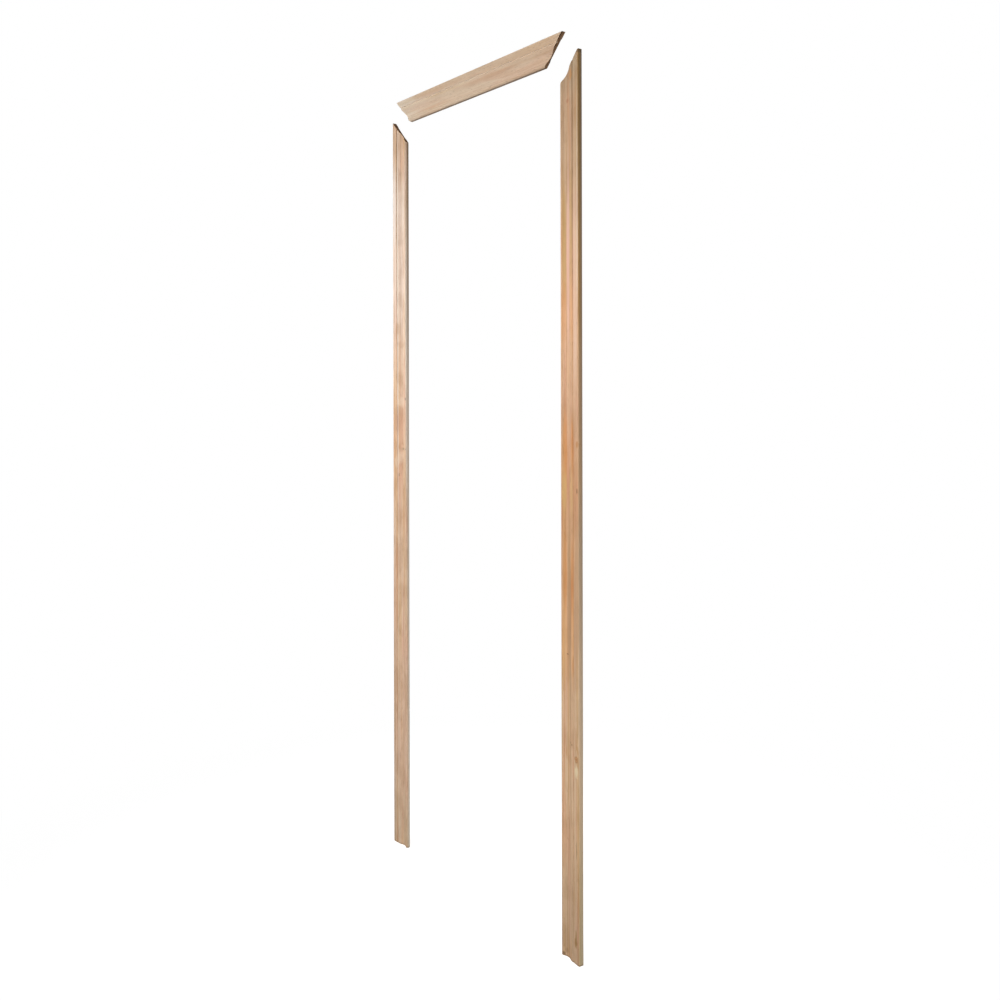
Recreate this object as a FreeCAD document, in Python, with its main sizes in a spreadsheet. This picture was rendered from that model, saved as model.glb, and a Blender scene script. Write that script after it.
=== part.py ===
import FreeCAD, Part
import math
import os
import Sketcher

# A three-piece door casing: two legs and a head, all cut from one moulding.
# Frame: +X across the doorway, +Z up from the floor, profiled faces towards -Y.
# The backs lie on the wall plane, y = 0, and x = 0 is midway between the legs.
# The pieces stand apart, as an unfixed set is laid out: the head is lifted clear
# of the legs and the legs are moved outwards, so every mitred end is open.

# Each size in millimetres: its name, its value and what it is
SIZES = [
    ("leg_length", 2133.6, "leg, from its square foot to the tip of its mitre"),
    ("head_length", 762.0, "head, from tip to tip along its outer edge"),
    ("casing_width", 69.85, "outer edge to inner edge"),
    ("casing_thickness", 12.7, "back to the crown of the outer band"),
    ("edge_radius", 2.5, "round of the outer front corner"),
    ("band_width", 20.0, "outer edge to the quirk"),
    ("band_fall", 1.2, "fall of the crowned band from its crown to the quirk"),
    ("quirk_depth", 2.6, "depth of the quirk below the band beside it"),
    ("quirk_width", 1.5, "flat at the bottom of the quirk"),
    ("crest_fall", 1.1, "crest of the ogee below the crown of the band"),
    ("hollow_setback", 21.2, "inner edge to the lowest line of the hollow"),
    ("hollow_thickness", 5.5, "back to the lowest line of the hollow"),
    ("bead_thickness", 10.0, "back to the top of the inner bead"),
    ("bead_radius", 6.0, "round of the inner bead"),
    ("land_width", 13.0, "each flat strip of the back that bears on the wall"),
    ("relief_depth", 1.2, "hollow between the two strips of the back"),
    ("relief_slope", 2.4, "width of each sloping side of the hollow"),
    ("side_gap", 40.0, "legs' outer edges beyond the ends of a centred head"),
    ("head_gap", 56.0, "head's outer edge above the tips of the legs"),
    ("head_offset", 18.0, "middle of the head, left of the middle of the doorway"),
]

# Places on a sketch's line or arc, and the sketch's own origin
START = 1
END = 2
CENTRE = 3
ORIGIN = -1

# Arcs turn anticlockwise, so these are followed from their end to their start
FOLLOWED_BACK = {"corner", "band", "nose", "ogee_top", "bead"}

# Joins of the section that are smooth; the rest are corners
SMOOTH_JOINS = {
    ("outer_side", "corner"),
    ("corner", "band"),
    ("nose", "ogee_top"),
    ("ogee_top", "ogee_foot"),
    ("ogee_foot", "hollow"),
    ("hollow", "bead"),
    ("bead", "inner_side"),
}

doc = FreeCAD.newDocument("door_casing")
sheet = doc.addObject("Spreadsheet::Sheet", "Sizes")


def fill_sheet():
    """One row for each driving size: its name, its value and what it is."""
    for row, (alias, value, meaning) in enumerate(SIZES, start=1):
        sheet.set(f"A{row}", alias)
        sheet.set(f"B{row}", str(value))
        sheet.set(f"C{row}", meaning)
        sheet.setAlias(f"B{row}", alias)
    doc.recompute()


def size(alias):
    """The value of a driving size."""
    return float(getattr(sheet, alias))


def new_sketch(body, name, role):
    """A sketch on one of the body's own origin planes, such as XY_Plane."""
    plane = next(f for f in body.Origin.OriginFeatures if f.Role == role)
    sketch = body.newObject("Sketcher::SketchObject", name)
    sketch.AttachmentSupport = [(plane, "")]
    sketch.MapMode = "FlatFace"
    return sketch


def bind(sketch, kind, places, formula, value):
    """Adds a dimension to the sketch and ties it to the sheet by a formula."""
    number = sketch.addConstraint(Sketcher.Constraint(kind, *places, value))
    sketch.setExpression(f"Constraints[{number}]", formula)


def point(x, y):
    return FreeCAD.Vector(x, y, 0)


def arc(centre, radius, first_degrees, last_degrees):
    """An arc that turns anticlockwise from the first angle to the last."""
    circle = Part.Circle(centre, FreeCAD.Vector(0, 0, 1), radius)
    return Part.ArcOfCircle(circle, math.radians(first_degrees), math.radians(last_degrees))


def section_points():
    """Corners and centres of the section: x from the outer edge, y out of the wall."""
    width = size("casing_width")
    crown = size("casing_thickness")
    land = size("land_width")
    slope = size("relief_slope")
    band_edge = crown - size("band_fall")
    quirk_floor = band_edge - size("quirk_depth")
    quirk_end = size("band_width") + size("quirk_width")
    crest = crown - size("crest_fall")
    crest_x = quirk_end + crest - quirk_floor
    bead_y = size("bead_thickness") - size("bead_radius")
    return {
        "outer_back": point(0, 0),
        "outer_front": point(0, crown - size("edge_radius")),
        "band_start": point(size("edge_radius"), crown),
        "band_end": point(size("band_width"), band_edge),
        "quirk_start": point(size("band_width"), quirk_floor),
        "quirk_end": point(quirk_end, quirk_floor),
        "crest": point(crest_x, crest),
        "hollow_floor": point(width - size("hollow_setback"), size("hollow_thickness")),
        "bead_centre": point(width - size("bead_radius"), bead_y),
        "inner_front": point(width, bead_y),
        "inner_back": point(width, 0),
        "inner_land": point(width - land, 0),
        "relief_inner": point(width - land - slope, size("relief_depth")),
        "relief_outer": point(land + slope, size("relief_depth")),
        "outer_land": point(land, 0),
    }


def section_edges(p):
    """The edges of the section in order round it, as (name, geometry)."""
    corner = size("edge_radius")
    run = p["band_end"].x - p["band_start"].x
    fall = p["band_start"].y - p["band_end"].y
    band = (run**2 + fall**2) / (2 * fall)
    band_turn = math.degrees(math.asin(run / band))
    nose = p["crest"].y - p["quirk_end"].y
    ogee_width = p["hollow_floor"].x - p["crest"].x
    ogee_angle = 2 * math.atan((p["crest"].y - p["hollow_floor"].y) / ogee_width)
    ogee = ogee_width / (2 * math.sin(ogee_angle))
    ogee_turn = math.degrees(ogee_angle)
    bead = size("bead_radius")
    across = p["bead_centre"].x - p["hollow_floor"].x
    drop = p["hollow_floor"].y - p["bead_centre"].y
    hollow = (across**2 + drop**2 - bead**2) / (2 * (bead - drop))
    hollow_turn = math.degrees(math.atan(across / (hollow + drop)))
    return [
        ("outer_side", Part.LineSegment(p["outer_back"], p["outer_front"])),
        ("corner", arc(p["band_start"] - point(0, corner), corner, 90, 180)),
        ("band", arc(p["band_start"] - point(0, band), band, 90 - band_turn, 90)),
        ("quirk_side", Part.LineSegment(p["band_end"], p["quirk_start"])),
        ("quirk_floor", Part.LineSegment(p["quirk_start"], p["quirk_end"])),
        ("nose", arc(p["crest"] - point(0, nose), nose, 90, 180)),
        ("ogee_top", arc(p["crest"] - point(0, ogee), ogee, 90 - ogee_turn, 90)),
        ("ogee_foot", arc(p["hollow_floor"] + point(0, ogee), ogee, 270 - ogee_turn, 270)),
        ("hollow", arc(p["hollow_floor"] + point(0, hollow), hollow, 270, 270 + hollow_turn)),
        ("bead", arc(p["bead_centre"], bead, 0, 90 + hollow_turn)),
        ("inner_side", Part.LineSegment(p["inner_front"], p["inner_back"])),
        ("inner_land", Part.LineSegment(p["inner_back"], p["inner_land"])),
        ("inner_slope", Part.LineSegment(p["inner_land"], p["relief_inner"])),
        ("relief", Part.LineSegment(p["relief_inner"], p["relief_outer"])),
        ("outer_slope", Part.LineSegment(p["relief_outer"], p["outer_land"])),
        ("outer_land", Part.LineSegment(p["outer_land"], p["outer_back"])),
    ]


def draw_section(sketch):
    """The moulding's section, each edge held by a dimension, a join or a direction."""
    p = section_points()
    edges = section_edges(p)
    names = [name for name, shape in edges]
    number = {name: sketch.addGeometry(shape, False) for name, shape in edges}
    first = {name: END if name in FOLLOWED_BACK else START for name in names}
    last = {name: START if name in FOLLOWED_BACK else END for name in names}

    def hold(kind, *places):
        sketch.addConstraint(Sketcher.Constraint(kind, *places))

    def across(start, end, formula, value):
        bind(sketch, "DistanceX", (*start, *end), formula, value)

    def above_back(place, formula, value):
        bind(sketch, "DistanceY", (ORIGIN, START, *place), formula, value)

    for name, after in zip(names, names[1:] + names[:1]):
        kind = "Tangent" if (name, after) in SMOOTH_JOINS else "Coincident"
        hold(kind, number[name], last[name], number[after], first[after])
    hold("Coincident", number["outer_side"], START, ORIGIN, START)
    for name in ("outer_side", "quirk_side", "inner_side"):
        hold("Vertical", number[name])
    for name in ("quirk_floor", "inner_land", "relief", "outer_land"):
        hold("Horizontal", number[name])
    hold("Vertical", number["corner"], last["corner"], number["band"], CENTRE)
    hold("Vertical", number["nose"], last["nose"], number["ogee_top"], CENTRE)
    hold("Horizontal", number["nose"], first["nose"], number["nose"], CENTRE)
    hold("Vertical", number["ogee_foot"], last["ogee_foot"], number["ogee_foot"], CENTRE)
    hold("Horizontal", number["inner_land"], START, ORIGIN, START)
    hold("Equal", number["ogee_top"], number["ogee_foot"])

    for name, alias in (("corner", "edge_radius"), ("bead", "bead_radius")):
        bind(sketch, "Radius", (number[name],), f"Sizes.{alias}", size(alias))

    band_edge = "Sizes.casing_thickness - Sizes.band_fall"
    crest = (number["nose"], last["nose"])
    hollow_floor = (number["hollow"], first["hollow"])
    above_back((number["corner"], last["corner"]), "Sizes.casing_thickness", p["band_start"].y)
    above_back((number["quirk_side"], START), band_edge, p["band_end"].y)
    above_back((number["quirk_side"], END), f"{band_edge} - Sizes.quirk_depth", p["quirk_start"].y)
    above_back(crest, "Sizes.casing_thickness - Sizes.crest_fall", p["crest"].y)
    above_back(hollow_floor, "Sizes.hollow_thickness", p["hollow_floor"].y)
    bead_height = "Sizes.bead_thickness - Sizes.bead_radius"
    above_back((number["bead"], CENTRE), bead_height, p["bead_centre"].y)
    above_back((number["relief"], START), "Sizes.relief_depth", p["relief_inner"].y)

    outer_back = (number["outer_side"], START)
    for start, end, alias in (
        (outer_back, (number["quirk_side"], START), "band_width"),
        ((number["quirk_floor"], START), (number["quirk_floor"], END), "quirk_width"),
        (hollow_floor, (number["inner_side"], END), "hollow_setback"),
        (outer_back, (number["inner_side"], END), "casing_width"),
        ((number["inner_land"], END), (number["inner_land"], START), "land_width"),
        ((number["inner_slope"], END), (number["inner_slope"], START), "relief_slope"),
        ((number["outer_slope"], END), (number["outer_slope"], START), "relief_slope"),
        ((number["outer_land"], END), (number["outer_land"], START), "land_width"),
    ):
        across(start, end, f"Sizes.{alias}", size(alias))


def draw_mitre(sketch, tip, tip_height, towards):
    """The waste beyond a 45 degree cut, from the tip on the outer edge.

    The cutter runs past the moulding by its thickness on every side. towards is
    1 where the waste lies above the cut and -1 where it lies below.
    """
    overrun = size("casing_thickness")
    leg = size("casing_width") + 2 * overrun
    apex = point(-overrun, tip + towards * overrun)
    square = apex + point(leg, 0)
    far = square - point(0, towards * leg)
    outer = sketch.addGeometry(Part.LineSegment(apex, square), False)
    side = sketch.addGeometry(Part.LineSegment(square, far), False)
    cut = sketch.addGeometry(Part.LineSegment(far, apex), False)
    for line, after in ((outer, side), (side, cut), (cut, outer)):
        sketch.addConstraint(Sketcher.Constraint("Coincident", line, END, after, START))
    sketch.addConstraint(Sketcher.Constraint("Horizontal", outer))
    sketch.addConstraint(Sketcher.Constraint("Vertical", side))
    past = "Sizes.casing_thickness"
    reach = f"Sizes.casing_width + 2 * {past}"
    bind(sketch, "DistanceX", (outer, START, ORIGIN, START), past, overrun)
    bind(sketch, "DistanceX", (outer, START, outer, END), reach, leg)
    if towards > 0:
        bind(sketch, "DistanceY", (ORIGIN, START, outer, START), f"{tip_height} + {past}", tip + overrun)
        bind(sketch, "DistanceY", (side, END, side, START), reach, leg)
    else:
        bind(sketch, "DistanceY", (outer, START, ORIGIN, START), past, overrun)
        bind(sketch, "DistanceY", (side, START, side, END), reach, leg)


def cut_mitre(body, name, tip, tip_height, towards):
    """Cuts one end of a piece at 45 degrees, right through its thickness."""
    before = body.Shape.Volume
    sketch = new_sketch(body, f"{name}_sketch", "XZ_Plane")
    draw_mitre(sketch, tip, tip_height, towards)
    pocket = body.newObject("PartDesign::Pocket", name)
    pocket.Profile = sketch
    pocket.Type = "ThroughAll"
    pocket.SideType = "Symmetric"
    doc.recompute()
    if not pocket.Shape.Volume < before:
        raise RuntimeError(f"{name} took nothing away")


def make_casing(name, length, mitres, base, rotation):
    """One piece of casing, cut from the moulding to the sheet's length.

    In its own frame the moulding runs up from z = 0, its outer edge on x = 0.
    """
    body = doc.addObject("PartDesign::Body", name)
    body.Label = name
    sketch = new_sketch(body, f"{name}_section", "XY_Plane")
    draw_section(sketch)
    moulding = body.newObject("PartDesign::Pad", f"{name}_moulding")
    moulding.Profile = sketch
    moulding.setExpression("Length", f"Sizes.{length}")
    doc.recompute()
    if "lower" in mitres:
        cut_mitre(body, f"{name}_lower_mitre", 0, "0", -1)
    if "upper" in mitres:
        cut_mitre(body, f"{name}_upper_mitre", size(length), f"Sizes.{length}", 1)
    body.Placement = FreeCAD.Placement(FreeCAD.Vector(), rotation)
    for axis, formula in zip("xyz", base):
        body.setExpression(f"Placement.Base.{axis}", formula)
    return body


def make_right_leg():
    half_turn = FreeCAD.Rotation(FreeCAD.Vector(0, 0, 1), 180)
    base = ("Sizes.head_length / 2 + Sizes.side_gap", "0", "0")
    return make_casing("right_leg", "leg_length", ("upper",), base, half_turn)


def make_left_leg():
    """The same moulding turned end for end, so its outer edge faces the other way."""
    end_for_end = FreeCAD.Rotation(FreeCAD.Vector(1, 0, 0), 180)
    base = ("-(Sizes.head_length / 2 + Sizes.side_gap)", "0", "Sizes.leg_length")
    return make_casing("left_leg", "leg_length", ("lower",), base, end_for_end)


def make_head():
    """The moulding laid level with its outer edge up, from right to left."""
    laid_level = FreeCAD.Rotation(FreeCAD.Vector(1, 0, -1), 180)
    base = ("Sizes.head_length / 2 - Sizes.head_offset", "0", "Sizes.leg_length + Sizes.head_gap")
    return make_casing("head_casing", "head_length", ("lower", "upper"), base, laid_level)


def check(pieces):
    """Stops if any object failed, or any piece isn't one valid solid."""
    for thing in doc.Objects:
        if {"Invalid", "Error"} & set(thing.State):
            raise RuntimeError(f"{thing.Name}: {thing.State}")
        if thing.TypeId == "Sketcher::SketchObject" and not thing.FullyConstrained:
            raise RuntimeError(f"{thing.Name} is not fully constrained")
    for piece in pieces:
        shape = piece.Shape
        if shape.isNull() or not shape.isValid() or len(shape.Solids) != 1:
            raise RuntimeError(f"{piece.Label} is not one valid solid")


fill_sheet()
pieces = [make_left_leg(), make_right_leg(), make_head()]
doc.recompute()
check(pieces)
os.makedirs("parts", exist_ok=True)
for piece in pieces:
    piece.Shape.exportStep(f"parts/{piece.Label}.step")
    box = piece.Shape.BoundBox
    print(piece.Label, f"{piece.Shape.Volume:.0f} mm3", box)
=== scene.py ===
"""The looks of the door casing: three lengths of moulded pine in plain studio light."""

import math

import bpy
from mathutils import Matrix, Vector


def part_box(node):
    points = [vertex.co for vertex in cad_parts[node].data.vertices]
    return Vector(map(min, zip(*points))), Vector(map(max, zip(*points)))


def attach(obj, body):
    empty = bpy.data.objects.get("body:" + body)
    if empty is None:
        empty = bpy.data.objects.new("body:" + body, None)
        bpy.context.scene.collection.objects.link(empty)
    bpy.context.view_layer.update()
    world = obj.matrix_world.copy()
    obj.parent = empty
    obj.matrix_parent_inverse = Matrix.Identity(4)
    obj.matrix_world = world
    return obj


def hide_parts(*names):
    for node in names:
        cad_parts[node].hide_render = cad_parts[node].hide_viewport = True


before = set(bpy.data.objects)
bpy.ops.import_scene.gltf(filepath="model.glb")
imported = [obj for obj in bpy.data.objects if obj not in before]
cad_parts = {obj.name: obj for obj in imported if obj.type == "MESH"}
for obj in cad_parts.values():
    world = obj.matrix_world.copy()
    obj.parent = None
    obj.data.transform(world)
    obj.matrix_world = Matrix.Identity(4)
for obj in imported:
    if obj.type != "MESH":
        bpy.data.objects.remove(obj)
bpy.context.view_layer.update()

MM = 0.001

# The moulding's section in millimetres
EDGE_RADIUS = 2.5
BAND_WIDTH = 20.0
BAND_FALL = 1.2
QUIRK_DEPTH = 2.6
QUIRK_WIDTH = 1.5
CREST_FALL = 1.1
HOLLOW_SETBACK = 21.2
HOLLOW_THICKNESS = 5.5
BEAD_THICKNESS = 10.0
BEAD_RADIUS = 6.0
LAND_WIDTH = 13.0
RELIEF_DEPTH = 1.2
RELIEF_SLOPE = 2.4

# How the moulding is meshed, in millimetres and degrees
FACET = 0.6
SHARP_TURN = 32.0
EASED_ARRIS = 0.22
STATION_SPACING = 60.0

# How far a sanded corner lies from the sharp one towards the flat across it, from 0 to 1
ARRIS_ROUNDING = 0.55

# The wood, in millimetres: how far its rings wander, how far they swell round a knot, and
# how far the planer feeds it between two cuts of a knife
RING_WANDER = 16
KNOT_SWELL = 11
PLANER_FEED = 2.4

# The world's light on the casing, and the light that lifts the pale floor to white
ROOM_LIGHT = 0.143
FLOOR_LIFT = 0.78

# The photograph's camera: pixels of a frame 1000 wide, metres and degrees
FRAME_PIXELS = 1000
FOCAL_PIXELS = 1034.05
HORIZON_ROW = 388.55
CAMERA_PLACE = (2.2448, -1.5833, 1.3434)
CAMERA_HEADING = 53.593
CAMERA_TILT = 0.118
SENSOR_WIDTH = 36

# Directions in the room, as seen from the front
RIGHT = Vector((1, 0, 0))
LEFT = Vector((-1, 0, 0))
UP = Vector((0, 0, 1))
DOWN = Vector((0, 0, -1))
OUT_OF_WALL = Vector((0, -1, 0))

PLANED, BACK, CUT_END = range(3)


class Shading:
    """The shader nodes of one material or of the world."""

    def __init__(self, tree):
        self.tree = tree
        tree.nodes.clear()

    def node(self, kind, settings=None, sockets=None, output=0):
        """Adds a node: its settings come first, then the values or links of its sockets."""
        made = self.tree.nodes.new(kind)
        for name, value in (settings or {}).items():
            setattr(made, name, value)
        for name, value in (sockets or {}).items():
            if isinstance(value, Level):
                self.tree.links.new(value.socket, made.inputs[name])
            else:
                made.inputs[name].default_value = value
        return Level(self, made.outputs[output]) if made.outputs else made

    def vector_maths(self, operation, sockets):
        return self.node("ShaderNodeVectorMath", {"operation": operation}, sockets)


class Level:
    """One output of a node. Arithmetic on it adds Math nodes."""

    def __init__(self, shading, socket):
        self.shading = shading
        self.socket = socket

    def maths(self, operation, *values):
        return self.shading.node("ShaderNodeMath", {"operation": operation}, dict(enumerate(values)))

    def __add__(self, other):
        return self.maths("ADD", self, other)

    def __radd__(self, other):
        return self.maths("ADD", other, self)

    def __sub__(self, other):
        return self.maths("SUBTRACT", self, other)

    def __rsub__(self, other):
        return self.maths("SUBTRACT", other, self)

    def __mul__(self, other):
        return self.maths("MULTIPLY", self, other)

    def __rmul__(self, other):
        return self.maths("MULTIPLY", other, self)

    def __truediv__(self, other):
        return self.maths("DIVIDE", self, other)

    def __pow__(self, other):
        return self.maths("POWER", self, other)

    def output(self, name):
        """Another output of the same node."""
        return Level(self.shading, self.socket.node.outputs[name])

    def between(self, low, high):
        """Rises smoothly from 0 at low to 1 at high."""
        settings = {"interpolation_type": "SMOOTHSTEP"}
        sockets = {"Value": self, "From Min": low, "From Max": high}
        return self.shading.node("ShaderNodeMapRange", settings, sockets)


def srgb(red, green, blue):
    """A colour from 0-255 screen values, as the linear one that nodes take."""
    shares = [level / 255 for level in (red, green, blue)]
    linear = [share / 12.92 if share <= 0.04045 else ((share + 0.055) / 1.055) ** 2.4 for share in shares]
    return (*linear, 1)


def blend(shading, share, first, second, how="MIX"):
    """Mixes two colours by a share."""
    settings = {"data_type": "RGBA", "blend_type": how}
    return shading.node("ShaderNodeMix", settings, {0: share, 6: first, 7: second}, output=2)


def stretched(shading, place, across, along):
    """The place in the wood, divided by a size across the grain and one along it."""
    scale = (1 / across, 1 / across, 1 / along)
    return shading.vector_maths("MULTIPLY", {0: place, 1: scale})


def mottle(shading, place, across, along, detail=2.0):
    """Soft noise about 0.5, of a size across the grain and another along it."""
    sockets = {"Vector": stretched(shading, place, across, along), "Scale": 1.0, "Detail": detail}
    return shading.node("ShaderNodeTexNoise", {}, sockets)


def arc(centre, radius, first_degrees, last_degrees):
    """Points along an arc, its two ends among them."""
    turn = math.radians(last_degrees - first_degrees)
    steps = max(4, round(abs(turn) * radius / FACET))
    angles = [math.radians(first_degrees) + turn * i / steps for i in range(steps + 1)]
    return [(centre[0] + radius * math.cos(a), centre[1] + radius * math.sin(a)) for a in angles]


def moulded_face(width, crown):
    """The face of the section, from its outer edge to its inner edge."""
    run = BAND_WIDTH - EDGE_RADIUS
    band = (run**2 + BAND_FALL**2) / (2 * BAND_FALL)
    band_end = 90 - math.degrees(math.asin(run / band))
    quirk_floor = crown - BAND_FALL - QUIRK_DEPTH
    crest = crown - CREST_FALL
    nose = crest - quirk_floor
    crest_x = BAND_WIDTH + QUIRK_WIDTH + nose
    floor_x = width - HOLLOW_SETBACK
    ogee_angle = 2 * math.atan((crest - HOLLOW_THICKNESS) / (floor_x - crest_x))
    ogee = (floor_x - crest_x) / (2 * math.sin(ogee_angle))
    ogee_end = 90 - math.degrees(ogee_angle)
    bead = (width - BEAD_RADIUS, BEAD_THICKNESS - BEAD_RADIUS)
    across = bead[0] - floor_x
    drop = HOLLOW_THICKNESS - bead[1]
    hollow = (across**2 + drop**2 - BEAD_RADIUS**2) / (2 * (BEAD_RADIUS - drop))
    hollow_turn = math.degrees(math.atan(across / (hollow + drop)))
    points = arc((EDGE_RADIUS, crown - EDGE_RADIUS), EDGE_RADIUS, 180, 90)
    points += arc((EDGE_RADIUS, crown - band), band, 90, band_end)[1:]
    points += [(BAND_WIDTH, quirk_floor)]
    points += arc((crest_x, quirk_floor), nose, 180, 90)
    points += arc((crest_x, crest - ogee), ogee, 90, ogee_end)[1:]
    points += arc((floor_x, HOLLOW_THICKNESS + ogee), ogee, ogee_end - 180, -90)[1:]
    points += arc((floor_x, HOLLOW_THICKNESS + hollow), hollow, -90, hollow_turn - 90)[1:]
    points += arc(bead, BEAD_RADIUS, 90 + hollow_turn, 0)[1:]
    return points


def hollowed_back(width):
    """The back of the section, from its inner edge to its outer edge."""
    slope_end = LAND_WIDTH + RELIEF_SLOPE
    return [
        (width, 0),
        (width - LAND_WIDTH, 0),
        (width - slope_end, RELIEF_DEPTH),
        (slope_end, RELIEF_DEPTH),
        (LAND_WIDTH, 0),
        (0, 0),
    ]


def turn_at(before, point, after):
    """The angle in degrees by which a path turns at a point."""
    first = math.atan2(point[1] - before[1], point[0] - before[0])
    second = math.atan2(after[1] - point[1], after[0] - point[0])
    return abs((math.degrees(second - first) + 180) % 360 - 180)


def towards(point, other, distance):
    """The point moved a distance towards another."""
    length = math.dist(point, other)
    return tuple(p + (o - p) * distance / length for p, o in zip(point, other))


def eased(path):
    """The closed path with each sharp corner cut back as fine sandpaper leaves it."""
    points = []
    for before, point, after in zip(path[-1:] + path, path, path[1:] + path[:1]):
        if turn_at(before, point, after) < SHARP_TURN:
            points.append(point)
            continue
        first = towards(point, before, EASED_ARRIS)
        last = towards(point, after, EASED_ARRIS)
        middle = towards(first, last, math.dist(first, last) / 2)
        rounded = towards(point, middle, math.dist(point, middle) * ARRIS_ROUNDING)
        points += [first, rounded, last]
    return points


def inset(path, distance):
    """The closed path, which runs clockwise, drawn in on every side by a distance."""
    points = []
    for before, point, after in zip(path[-1:] + path, path, path[1:] + path[:1]):
        run = Vector(after) - Vector(before)
        inwards = Vector((run.y, -run.x)).normalized()
        points.append(tuple(Vector(point) + inwards * distance))
    return points


def casing_rings(outline, length, low_mitre, high_mitre):
    """The outline at stations along the wood, and drawn in on both ends. Mitred ends slope."""
    drawn_in = inset(outline, EASED_ARRIS)
    stations = round(length / STATION_SPACING)

    def start(x):
        return x if low_mitre else 0

    def end(x):
        return length - x if high_mitre else length

    rings = [[(x, y, start(x)) for x, y in drawn_in]]
    for i in range(stations + 1):
        share = i / stations
        ring = []
        for x, y in outline:
            first = start(x) + EASED_ARRIS
            last = end(x) - EASED_ARRIS
            ring.append((x, y, first + (last - first) * share))
        rings.append(ring)
    rings.append([(x, y, end(x)) for x, y in drawn_in])
    return rings


def casing_skin(outline, ring_count):
    """The faces from ring to ring and across both ends, with the kind of finish on each."""
    count = len(outline)
    top_of_back = RELIEF_DEPTH + EASED_ARRIS
    faces = [tuple(range(count))]
    kinds = [CUT_END]
    for ring in range(ring_count - 1):
        here = ring * count
        beyond = here + count
        for i in range(count):
            after = (i + 1) % count
            faces.append((here + i, beyond + i, beyond + after, here + after))
            behind = max(outline[i][1], outline[after][1]) < top_of_back
            kinds.append(BACK if behind else PLANED)
    last_ring = (ring_count - 1) * count
    faces.append(tuple(reversed(range(last_ring, last_ring + count))))
    kinds.append(CUT_END)
    return faces, kinds


def place_casing(low, high, across, along):
    """The matrix that takes a length from its own frame to the box from low to high."""
    corner = Vector((0, high.y, 0))
    for axis in (0, 2):
        forwards = across[axis] + along[axis]
        corner[axis] = low[axis] if forwards > 0 else high[axis]
    turned = Matrix((across, OUT_OF_WALL, along)).transposed().to_4x4()
    return Matrix.Translation(corner) @ turned


def add_casing(node, across, along, finishes, low_mitre=False, high_mitre=False):
    """One length of casing in place of its CAD node.

    In its own frame x runs from the outer edge, y out of the wall and z along the
    moulding. across and along are the directions of x and z in the room.
    """
    low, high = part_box(node)
    size = high - low
    length = abs(size.dot(along)) / MM
    width = abs(size.dot(across)) / MM
    crown = size.y / MM
    outline = eased(moulded_face(width, crown) + hollowed_back(width))
    rings = casing_rings(outline, length, low_mitre, high_mitre)
    vertices = [tuple(c * MM for c in point) for ring in rings for point in ring]
    faces, kinds = casing_skin(outline, len(rings))

    mesh = bpy.data.meshes.new(f"{node}_moulded")
    mesh.from_pydata(vertices, [], faces)
    for finish in finishes:
        mesh.materials.append(finish)
    mesh.polygons.foreach_set("material_index", kinds)
    mesh.shade_smooth()
    mesh.set_sharp_from_angle(angle=math.radians(SHARP_TURN))
    mesh.validate()
    piece = bpy.data.objects.new(f"{node}_moulded", mesh)
    bpy.context.scene.collection.objects.link(piece)
    piece.matrix_world = place_casing(low, high, across, along)
    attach(piece, "root")
    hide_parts(node)


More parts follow.
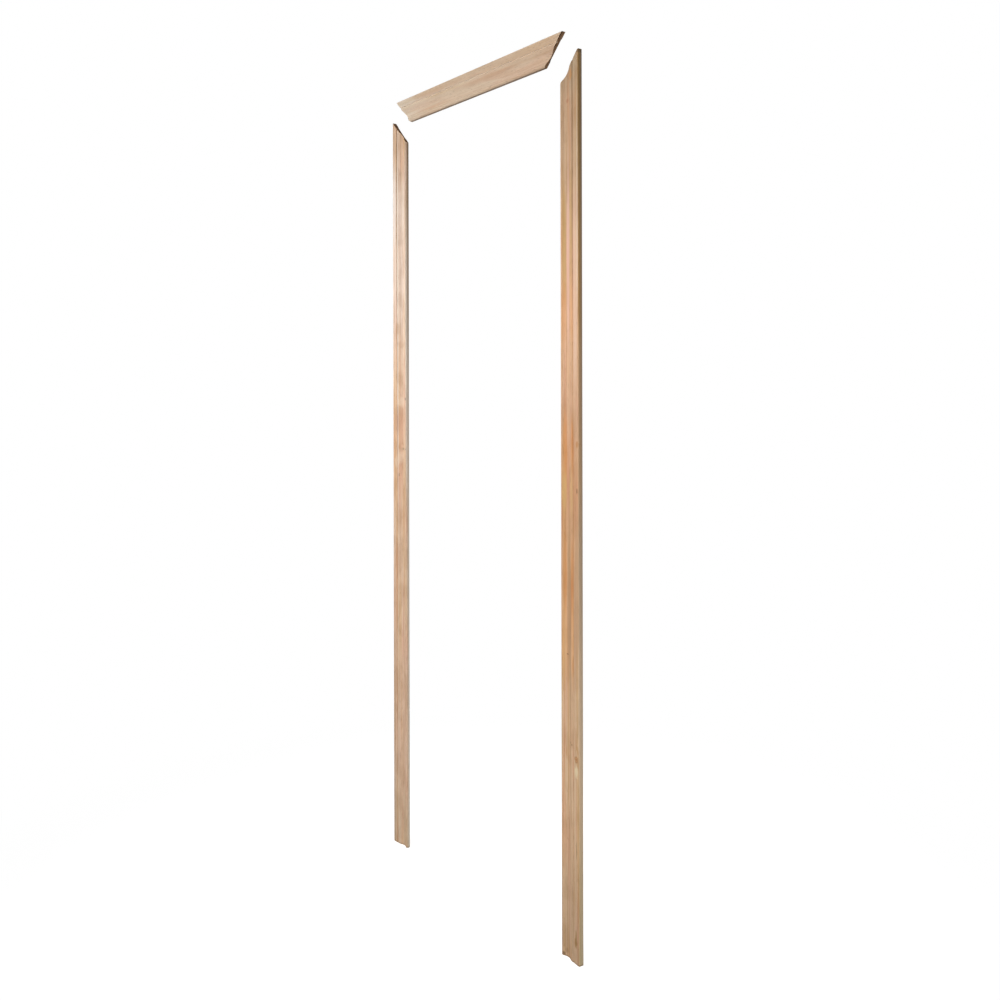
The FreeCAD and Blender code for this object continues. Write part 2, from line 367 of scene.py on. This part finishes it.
class Wood:
    """The wood of one length, and a place in it in millimetres.

    Its tree has a heart beside the section, which leans along the length, and rings
    that swell round each knot. plain and curl say how strong the stripes and the
    curled figure are, sawn is the colour of a sawn end, and the offset keeps one
    length's pattern apart from the next one's.
    """

    def __init__(self, shading, tree):
        self.shading = shading
        self.tree = tree
        metres = shading.node("ShaderNodeTexCoord", output="Object")
        offset = (0, 0, tree["offset"])
        self.spot = shading.vector_maths("SCALE", {0: metres, "Scale": 1 / MM})
        self.place = shading.vector_maths("ADD", {0: self.spot, 1: offset})
        split = shading.node("ShaderNodeSeparateXYZ", {}, {0: self.spot})
        self.x = split.output("X")
        self.y = split.output("Y")
        self.z = split.output("Z")

    def mottle(self, across, along, detail=2.0):
        """Soft noise about 0.5, of a size across the grain and another along it."""
        return mottle(self.shading, self.place, across, along, detail)

    def reach(self, x, z, half_width, half_length):
        """Distance from a point of the face: 1 on the rim of an oval that wanders a little."""
        scale = (1 / half_width, 0, 1 / half_length)
        offset = self.shading.vector_maths("SUBTRACT", {0: self.spot, 1: (x, 0, z)})
        oval = self.shading.vector_maths("MULTIPLY", {0: offset, 1: scale})
        distance = self.shading.vector_maths("LENGTH", {0: oval}).output("Value")
        ragged = self.mottle(half_width * 0.7, half_length * 0.7)
        return distance + (ragged - 0.5) * 0.9

    def late_wood(self):
        """The growth rings as the cutters met them: late wood from 0 to 1, and each ring's own number."""
        shading = self.shading
        tree = self.tree
        wander = shading.node("ShaderNodeTexNoise", {}, {
            "Vector": stretched(shading, self.place, 90, 420), "Scale": 1.0, "Detail": 1.5,
        }, output=1)
        swing = shading.node("ShaderNodeSeparateXYZ", {}, {0: wander})
        heart_x, heart_y = tree["heart"]
        across = self.x - heart_x + self.z * tree["lean"] + (swing.output("X") - 0.5) * RING_WANDER
        depth = self.y - heart_y + (swing.output("Y") - 0.5) * RING_WANDER
        for x, z in tree["knots"]:
            depth = depth + (1 - self.reach(x, z, 13, 48).between(0, 1)) * KNOT_SWELL
        distance = (across * across + depth * depth) ** 0.5 / tree["ring_width"]
        in_line = {"noise_dimensions": "1D"}
        uneven = shading.node("ShaderNodeTexNoise", in_line, {"W": distance * 0.6, "Scale": 1.0})
        rings = distance + uneven * 1.2
        phase = rings.maths("FRACT", rings)
        number = shading.node("ShaderNodeTexWhiteNoise", in_line, {"W": rings - phase})
        late = phase.between(0.3, 0.9) * (1 - phase.between(0.93, 1.0))
        return late, number

    def tinted(self, share, colour, tint):
        """The colour multiplied by a tint, by a share."""
        return blend(self.shading, share, colour, (*tint, 1), "MULTIPLY")

    def mark(self, colour, paint, x, z, half_width, half_length, strength):
        """A soft oval mark of another colour."""
        share = 1 - self.reach(x, z, half_width, half_length).between(0.4, 1.2)
        return blend(self.shading, share * strength, colour, paint)

    def shaded(self, first, *later):
        """A colour that changes along the wood: each later one is given with the run where it fades in."""
        colour = first
        for low, high, paint in later:
            colour = blend(self.shading, self.z.between(low, high), colour, paint)
        return colour

    def quirk(self, colour, quirk_shade, crest_highlight):
        """Painted shade down in the quirk, and a painted highlight on the crest beside it."""
        crest = BAND_WIDTH + QUIRK_WIDTH + QUIRK_DEPTH
        before = 1 - self.x.between(crest - 0.6, crest + 1.6)
        groove = self.x.between(BAND_WIDTH - 1.4, BAND_WIDTH - 0.2) * before
        colour = self.tinted(groove * quirk_shade, colour, (0.60, 0.50, 0.40))
        crown = self.x.between(BAND_WIDTH - 0.4, crest) * (1 - self.x.between(crest + 2.4, crest + 5))
        return blend(self.shading, crown * crest_highlight, colour, srgb(255, 240, 222))

    def outer_side(self):
        """1 on the flat side of the outer edge."""
        return 1 - self.x.between(0.3, 1.4)

    def inner_side(self):
        """1 on the flat side of the inner edge, under the bead."""
        return (1 - self.y.between(3.5, 6.5)) * self.x.between(62, 66)

    def knot(self, colour, x, z, radius):
        """A small sound knot: an orange disc, a darker heart and a thin bark line."""
        reach = self.reach(x, z, radius, radius * 1.25)
        colour = blend(self.shading, (1 - reach.between(0.6, 1.15)) * 0.75, colour, srgb(206, 146, 94))
        bark = reach.between(0.55, 0.8) * (1 - reach.between(0.85, 1.1))
        colour = blend(self.shading, bark * 0.35, colour, srgb(150, 98, 60))
        return blend(self.shading, (1 - reach.between(0.1, 0.5)) * 0.6, colour, srgb(156, 100, 58))


def grain(wood, colour):
    """Lays the grain of pine over its ground colour, and returns its roughness and height too."""
    late, number = wood.late_wood()
    plain = wood.tree["plain"]
    ochre = wood.mottle(9, 420, 1.5).between(0.5, 0.64)
    blush = wood.mottle(13, 230, 2.0).between(0.5, 0.66)
    figure = wood.mottle(26, 60, 2.0)
    streaks = wood.mottle(2.0, 190, 2.0)
    fibres = wood.mottle(0.45, 45, 3.0)
    ducts = wood.mottle(0.8, 16, 0.0).between(0.71, 0.76)

    colour = wood.tinted(ochre * (0.8 * plain), colour, (0.96, 0.90, 0.74))
    colour = wood.tinted(blush * (0.8 * plain), colour, (0.97, 0.85, 0.84))
    colour = wood.tinted(late * (0.2 + number * 0.5) * plain, colour, (0.78, 0.64, 0.50))
    colour = wood.tinted(figure.between(0.42, 0.66) * wood.tree["curl"], colour, (0.82, 0.76, 0.70))
    colour = wood.tinted(streaks.between(0.5, 0.72) * (0.6 * plain), colour, (0.80, 0.70, 0.60))
    colour = wood.tinted(fibres.between(0.3, 0.7) * 0.4, colour, (0.82, 0.78, 0.72))
    colour = wood.tinted(ducts * 0.42, colour, (0.45, 0.34, 0.24))
    height = fibres * 0.05 + late * 0.04 - ducts * 0.06
    roughness = 0.68 - late * 0.12 + fibres * 0.1
    return colour, roughness, height


def new_material(name):
    """A material without nodes, and its shading."""
    material = bpy.data.materials.new(name)
    material.use_nodes = True
    return material, Shading(material.node_tree)


def add_surface(shading, colour, roughness, gloss, height):
    """The surface of wood, raised by a height in millimetres."""
    bump = shading.node("ShaderNodeBump", {}, {"Strength": 1.0, "Distance": MM, "Height": height})
    surface = shading.node("ShaderNodeBsdfPrincipled", {}, {
        "Base Color": colour, "Roughness": roughness, "Normal": bump, "Specular IOR Level": gloss,
    })
    shading.node("ShaderNodeOutputMaterial", {}, {"Surface": surface})


def make_pine(name, tree, ground, marks, planer_depth):
    """Bare planed pine, with the waves that the planer's knives leave."""
    material, shading = new_material(name)
    wood = Wood(shading, tree)
    colour, roughness, height = grain(wood, ground(wood))
    colour = marks(wood, colour)
    turns = wood.z * (2 * math.pi / PLANER_FEED)
    height = height + turns.maths("SINE", turns) * planer_depth
    add_surface(shading, colour, roughness, 0.35, height)
    return material


def make_end_grain(name, tree):
    """Sawn end grain: darker and rougher, its rings as arcs, with the saw's marks."""
    material, shading = new_material(name)
    wood = Wood(shading, tree)
    late, number = wood.late_wood()
    pores = wood.mottle(0.35, 0.35, 2.0)
    stain = wood.mottle(9, 9, 2.0)
    scratches = mottle(shading, wood.place, 14, 0.5, 2.0)
    colour = blend(shading, late * (0.45 + number * 0.45), srgb(*tree["sawn"]), srgb(90, 58, 34))
    colour = blend(shading, stain.between(0.4, 0.7) * 0.4, colour, srgb(110, 78, 52))
    colour = blend(shading, pores.between(0.45, 0.7) * 0.4, colour, srgb(76, 50, 32))
    height = pores * 0.12 - late * 0.05 + scratches * 0.08
    add_surface(shading, colour, 0.85, 0.25, height)
    return material


def make_finishes(piece, tree, ground, marks):
    """The planed face, the planed back and the sawn ends of one length, all of one tree."""
    return [
        make_pine(f"{piece}_planed_pine", tree, ground, marks, planer_depth=0.004),
        make_pine(f"{piece}_back_pine", tree, ground, no_marks, planer_depth=0.02),
        make_end_grain(f"{piece}_end_grain", tree),
    ]


def no_marks(wood, colour):
    return colour


def right_leg_ground(wood):
    """Straw at the foot and the tip, honey half way up and rose between."""
    return wood.shaded(
        srgb(223, 191, 157),
        (40, 330, srgb(240, 206, 170)),
        (560, 900, srgb(240, 193, 150)),
        (1120, 1290, srgb(239, 197, 162)),
        (1640, 1860, srgb(238, 203, 167)),
        (2000, 2100, srgb(217, 189, 155)),
    )


def right_leg_stripes(wood, colour):
    """Long stripes of ochre, rose and resin-orange, one beside the other, and painted shade down the
    ogee's falling slope low on the leg.
    """
    ochre = srgb(216, 172, 112)
    rose = srgb(238, 190, 168)
    orange = srgb(232, 156, 84)
    grey = srgb(196, 160, 126)
    colour = wood.mark(colour, srgb(206, 166, 102), 57, 1700, 8, 170, 0.7)
    colour = wood.mark(colour, orange, 57, 1530, 7, 90, 0.35)
    colour = wood.mark(colour, srgb(242, 196, 184), 42, 1660, 8, 240, 0.6)
    colour = wood.mark(colour, srgb(206, 166, 102), 26, 1730, 4, 160, 0.6)
    colour = wood.mark(colour, orange, 26, 1530, 4, 90, 0.35)
    colour = wood.mark(colour, srgb(246, 212, 190), 12, 1590, 9, 280, 0.45)
    colour = wood.mark(colour, orange, 54, 1200, 7, 90, 0.5)
    colour = wood.mark(colour, orange, 24, 1210, 6, 80, 0.5)
    colour = wood.mark(colour, srgb(240, 200, 132), 57, 1100, 8, 60, 0.6)
    colour = wood.mark(colour, srgb(234, 190, 124), 27, 1095, 5, 60, 0.5)
    colour = wood.mark(colour, srgb(212, 156, 118), 12, 1090, 9, 110, 0.4)
    colour = wood.mark(colour, srgb(222, 160, 130), 44, 1100, 6, 90, 0.5)
    colour = wood.mark(colour, orange, 55, 900, 6, 110, 0.5)
    colour = wood.mark(colour, srgb(244, 192, 132), 56, 740, 7, 110, 0.5)
    colour = wood.mark(colour, orange, 24, 900, 6, 100, 0.45)
    colour = wood.mark(colour, srgb(244, 186, 126), 24, 750, 6, 120, 0.6)
    # Painted shade on the ogee's falling slope, low on the leg, where it turns away from the light.
    colour = wood.mark(colour, grey, 41, 840, 9, 250, 0.6)
    colour = wood.mark(colour, srgb(188, 144, 104), 34, 700, 5, 420, 0.5)
    colour = wood.mark(colour, srgb(255, 238, 216), 3.4, 1800, 2.4, 330, 0.5)
    return wood.mark(colour, srgb(206, 170, 136), 9, 830, 11, 230, 0.6)


def right_leg_marks(wood, colour):
    """A knot with pale wood below it, specks of bark, a resin scar near the foot and a tip darkened to
    grey-brown, with painted shade in the quirk and along the inner edge, and painted light and shade on
    the outer side.
    """
    dark = srgb(122, 78, 44)
    amber = srgb(204, 134, 74)
    # Painted shade down the quirk high on the leg, and no painted highlight on its crest.
    colour = wood.quirk(right_leg_stripes(wood, colour), wood.z.between(1500, 1750) * 0.5, 0.0)
    # Painted light and shade on the outer side face: its own colour along the length for how light falls
    # on it, paler towards the back.
    side = wood.shaded(
        srgb(212, 194, 150),
        (40, 420, srgb(234, 206, 170)),
        (900, 1250, srgb(248, 202, 152)),
        (1380, 1560, srgb(228, 178, 108)),
    )
    side = blend(wood.shading, (1 - wood.y.between(2, 9)) * 0.5, side, srgb(226, 208, 184))
    colour = blend(wood.shading, wood.outer_side() * 0.75, colour, side)
    colour = wood.mark(colour, srgb(222, 158, 96), 28, 2080, 6, 16, 0.7)
    colour = wood.mark(colour, amber, 22, 695, 2, 26, 0.7)
    colour = wood.mark(colour, srgb(196, 130, 98), 45, 2022, 6, 6, 0.6)
    colour = wood.mark(colour, dark, 5.5, 1104, 3, 7, 0.6)
    colour = wood.mark(colour, amber, 5, 1212, 5, 9, 0.6)
    colour = wood.mark(colour, dark, 27, 508, 1.8, 3, 0.7)
    colour = wood.mark(colour, dark, 32, 512, 1.8, 3, 0.6)
    colour = wood.mark(colour, dark, 48, 716, 4, 2, 0.6)
    colour = wood.mark(colour, amber, 11, 525, 1.6, 30, 0.55)
    colour = wood.mark(colour, amber, 52, 484, 2, 20, 0.5)
    colour = wood.mark(colour, srgb(150, 104, 62), 9, 266, 1.6, 26, 0.7)
    colour = wood.knot(colour, 10, 478, 6.5)
    colour = wood.mark(colour, srgb(250, 230, 190), 10, 450, 8, 15, 0.85)
    colour = wood.mark(colour, srgb(166, 122, 60), 12, 66, 3, 16, 0.8)
    colour = wood.mark(colour, srgb(162, 118, 58), 13, 50, 6, 13, 0.8)
    colour = wood.mark(colour, srgb(110, 82, 52), 60, 6, 4, 5, 0.7)
    colour = wood.mark(colour, srgb(150, 110, 70), 52, 14, 5, 8, 0.4)
    # Painted shade along the round of the inner edge, full strength low on the leg and half strength high
    # up.
    edge = wood.x.between(64, 66.5) * (1 - wood.z.between(500, 1200) * 0.5)
    colour = wood.tinted(edge * 0.5, colour, (0.66, 0.60, 0.54))
    colour = blend(wood.shading, (1 - wood.z.between(0.8, 5.5)) * 0.5, colour, srgb(120, 98, 74))
    # The tip darkened to grey-brown.
    return blend(wood.shading, wood.z.between(2123, 2127) * 0.5, colour, srgb(112, 96, 78))


def left_leg_ground(wood):
    """Cream below the mitre, honey half way down and straw at the foot."""
    return wood.shaded(
        srgb(246, 215, 188),
        (60, 260, srgb(250, 226, 208)),
        (560, 760, srgb(249, 219, 193)),
        (760, 900, srgb(248, 210, 179)),
        (980, 1280, srgb(250, 219, 191)),
        (1420, 1560, srgb(246, 213, 185)),
        (1850, 2110, srgb(238, 211, 181)),
    )


def left_leg_marks(wood, colour):
    """Painted shade in the quirk and a painted highlight on its crest, patches where the grain curls,
    specks of bark and a resin stain under the mitre, with painted light and shade on the inner side,
    beside the bead and near the outer edge low down.
    """
    tan = srgb(206, 162, 124)
    pale = srgb(255, 232, 206)
    dark = srgb(120, 80, 50)
    # Painted highlight on the crest beside the quirk, strongest near the top, and painted shade down the
    # quirk on the upper part of the leg.
    crest_highlight = 0.35 + wood.z.between(20, 260) * 0.6 - wood.z.between(800, 1200) * 0.65
    colour = wood.quirk(colour, (1 - wood.z.between(480, 1050)) * 0.95, crest_highlight)
    # Painted light and shade on the inner side face: dark under the mitre and near white lower down, as
    # light falls on it.
    side = wood.shaded(
        srgb(150, 122, 86),
        (50, 330, srgb(206, 172, 130)),
        (480, 800, srgb(255, 242, 222)),
    )
    colour = blend(wood.shading, wood.inner_side() * 0.8, colour, side)
    # A painted highlight on the bead's inner round high on the leg, and a line of painted shade along that
    # edge near the top.
    bead_highlight = wood.y.between(4, 6) * wood.x.between(64.5, 66.5) * wood.z.between(200, 420)
    fading = 0.6 - wood.z.between(1000, 1200) * 0.6
    colour = blend(wood.shading, bead_highlight * fading, colour, srgb(255, 244, 226))
    colour = wood.mark(colour, srgb(176, 134, 92), 64.5, 240, 1.8, 250, 0.5)
    colour = wood.mark(colour, srgb(224, 188, 134), 56, 62, 9, 62, 0.55)
    colour = wood.mark(colour, srgb(255, 244, 234), 9, 240, 10, 130, 0.5)
    colour = wood.mark(colour, srgb(255, 236, 214), 46, 260, 9, 120, 0.35)
    colour = wood.mark(colour, pale, 58, 430, 7, 190, 0.4)
    colour = wood.mark(colour, srgb(255, 228, 198), 54, 960, 7, 120, 0.5)
    colour = wood.mark(colour, tan, 24, 612, 10, 22, 0.5)
    colour = wood.mark(colour, tan, 38, 660, 16, 12, 0.4)
    colour = wood.mark(colour, tan, 34, 760, 14, 26, 0.4)
    colour = wood.mark(colour, pale, 40, 830, 18, 16, 0.4)
    colour = wood.mark(colour, srgb(206, 158, 128), 24, 890, 15, 40, 0.5)
    colour = wood.mark(colour, pale, 34, 990, 16, 22, 0.45)
    colour = wood.mark(colour, pale, 20, 1008, 14, 18, 0.4)
    colour = wood.mark(colour, tan, 46, 968, 12, 9, 0.35)
    colour = wood.mark(colour, dark, 64, 820, 3, 5, 0.7)
    colour = wood.mark(colour, dark, 46, 967, 3, 4, 0.5)
    colour = wood.mark(colour, dark, 63, 968, 3, 4, 0.6)
    colour = wood.mark(colour, dark, 31, 1044, 3, 6, 0.4)
    colour = wood.mark(colour, tan, 30, 1180, 12, 40, 0.3)
    colour = wood.mark(colour, srgb(226, 166, 124), 16, 1390, 8, 160, 0.35)
    # Painted shade on the band's outer edge, low on the leg.
    edge = (1 - wood.x.between(5, 14)) * wood.z.between(1300, 1950)
    colour = wood.tinted(edge * 0.7, colour, (0.76, 0.74, 0.72))
    return blend(wood.shading, wood.z.between(2128, 2132.5) * 0.4, colour, srgb(124, 102, 80))


def head_ground(wood):
    """Pale tan, paler still towards the left end."""
    return wood.shaded(
        srgb(250, 221, 192),
        (0, 330, srgb(248, 223, 196)),
        (560, 760, srgb(252, 234, 212)),
    )


def head_marks(wood, colour):
    """Painted light in the quirk over its shade, faint stripes and a line of painted shade along the lower
    edge.
    """
    # Painted light down the quirk, over the shade that falls in it.
    colour = wood.mark(colour, srgb(255, 240, 222), 21.0, 381, 2.2, 1500, 0.66)
    colour = wood.mark(colour, srgb(226, 180, 144), 34, 300, 6, 150, 0.4)
    colour = wood.mark(colour, srgb(224, 184, 150), 12, 520, 5, 140, 0.4)
    colour = wood.mark(colour, srgb(228, 186, 150), 50, 560, 5, 120, 0.35)
    # A line of painted shade on the round of the lower edge, which faces down.
    under = wood.x.between(69.0, 69.6)
    return blend(wood.shading, under * 0.7, colour, srgb(128, 96, 68))


def add_right_leg():
    tree = {"heart": (30, -34), "lean": 0.012, "ring_width": 4.2, "offset": 0, "knots": [(10, 478)],
            "plain": 1.0, "curl": 0.5, "sawn": (150, 112, 76)}
    finishes = make_finishes("right_leg", tree, right_leg_ground, right_leg_marks)
    add_casing("right_leg", LEFT, UP, finishes, high_mitre=True)


def add_left_leg():
    """The same moulding turned end for end, so its mitre is where it starts."""
    tree = {"heart": (44, -30), "lean": -0.01, "ring_width": 4.6, "offset": 5000, "knots": [(50, 975)],
            "plain": 0.9, "curl": 0.7, "sawn": (150, 112, 76)}
    finishes = make_finishes("left_leg", tree, left_leg_ground, left_leg_marks)
    add_casing("left_leg", RIGHT, DOWN, finishes, low_mitre=True)


def add_head():
    """The moulding laid level, from right to left, with its outer edge up."""
    # The head's sawn colour is paler than the legs': painted light on ends that the lamps hardly reach.
    tree = {"heart": (20, -60), "lean": 0.03, "ring_width": 5.5, "offset": 9000, "knots": [],
            "plain": 0.5, "curl": 0.25, "sawn": (226, 176, 132)}
    finishes = make_finishes("head_casing", tree, head_ground, head_marks)
    add_casing("head_casing", DOWN, LEFT, finishes, low_mitre=True, high_mitre=True)


def add_lamp(name, place, target, size, power, spread):
    """A soft square lamp at a place, turned to a target, with a grid that narrows it."""
    light = bpy.data.lights.new(name, "AREA")
    light.shape = "SQUARE"
    light.size = size
    light.energy = power
    light.spread = math.radians(spread)
    lamp = bpy.data.objects.new(name, light)
    bpy.context.scene.collection.objects.link(lamp)
    lamp.location = place
    lamp.rotation_euler = (Vector(target) - Vector(place)).to_track_quat("-Z", "Y").to_euler()
    lamp.visible_camera = False


def light_studio():
    add_lamp("left_softbox", (-1.1, -0.9, 1.9), (-0.5, 0, 1.45), size=0.4, power=3.43, spread=99)
    add_lamp("right_softbox", (0.55, -0.58, 1.78), (0.29, 0, 1.31), size=0.4, power=0.62, spread=93)
    add_lamp("high_softbox", (0.45, -1.58, 2.45), (0.15, 0, 2.25), size=1.0, power=10.5, spread=160)
    add_lamp("low_softbox", (-0.12, -1.42, 0.73), (-0.23, 0, 0.19), size=0.8, power=2.1, spread=99)
    add_lamp("side_softbox", (1.47, -0.44, 0.58), (0.45, 0, 0.35), size=0.5, power=1.63, spread=112)
    add_lamp("middle_fill", (0.76, -0.81, 0.64), (0.14, 0, 0.87), size=0.8, power=0.45, spread=115)
    add_lamp("back_softbox", (-0.55, 2.2, 1.3), (-0.1, 0, 1.2), size=0.35, power=5.7, spread=100)


def paint_background():
    """The world: soft light on the casing, and plain white wherever the camera sees it."""
    world = bpy.data.worlds.new("studio")
    bpy.context.scene.world = world
    world.use_nodes = True
    shading = Shading(world.node_tree)
    room = shading.node("ShaderNodeBackground", {}, {"Color": (1, 1, 1, 1), "Strength": ROOM_LIGHT})
    white = shading.node("ShaderNodeBackground", {}, {"Color": (1, 1, 1, 1), "Strength": 1.0})
    surface = shading.node("ShaderNodeMixShader", {}, {0: seen_share(shading), 1: room, 2: white})
    shading.node("ShaderNodeOutputWorld", {}, {"Surface": surface})


def seen_share(shading):
    """1 for what the camera sees, straight or in a gloss, and 0 for the light on the casing."""
    path = shading.node("ShaderNodeLightPath")
    seen = path.output("Is Camera Ray") + path.output("Is Glossy Ray") + path.output("Is Transmission Ray")
    return seen.maths("MINIMUM", seen, 1)


def make_floor_paint():
    """Pale paint that shows as white to the camera, keeps a soft shadow and fades out far away."""
    material, shading = new_material("pale_floor")
    local = shading.node("ShaderNodeTexCoord", output="Object")
    far = shading.vector_maths("LENGTH", {0: local}).output("Value")
    paint = shading.node("ShaderNodeBsdfDiffuse", {}, {"Color": (0.8, 0.8, 0.8, 1)})
    lift = shading.node("ShaderNodeEmission", {}, {"Color": (1, 1, 1, 1), "Strength": FLOOR_LIFT})
    white = shading.node("ShaderNodeEmission", {}, {"Color": (1, 1, 1, 1), "Strength": 1.0})
    lifted = shading.node("ShaderNodeAddShader", {}, {0: paint, 1: lift})
    near = shading.node("ShaderNodeMixShader", {}, {0: far.between(0.6, 1.6), 1: lifted, 2: white})
    surface = shading.node("ShaderNodeMixShader", {}, {0: seen_share(shading), 1: paint, 2: near})
    shading.node("ShaderNodeOutputMaterial", {}, {"Surface": surface})
    return material


def add_floor():
    reach = 8.0
    mesh = bpy.data.meshes.new("floor")
    corners = [(-reach, -reach, 0), (reach, -reach, 0), (reach, reach, 0), (-reach, reach, 0)]
    mesh.from_pydata(corners, [], [(0, 1, 2, 3)])
    mesh.materials.append(make_floor_paint())
    floor = bpy.data.objects.new("floor", mesh)
    bpy.context.scene.collection.objects.link(floor)


def add_camera():
    camera = bpy.data.objects.new("camera", bpy.data.cameras.new("camera"))
    bpy.context.scene.collection.objects.link(camera)
    bpy.context.scene.camera = camera
    camera.data.sensor_width = SENSOR_WIDTH
    camera.data.lens = SENSOR_WIDTH * FOCAL_PIXELS / FRAME_PIXELS
    camera.data.shift_y = HORIZON_ROW / FRAME_PIXELS - 0.5
    camera.location = CAMERA_PLACE
    camera.rotation_euler = [math.radians(a) for a in (90, CAMERA_TILT, CAMERA_HEADING)]


add_camera()
add_right_leg()
add_left_leg()
add_head()
add_floor()
light_studio()
paint_background()
bpy.context.scene.view_settings.view_transform = "Standard"
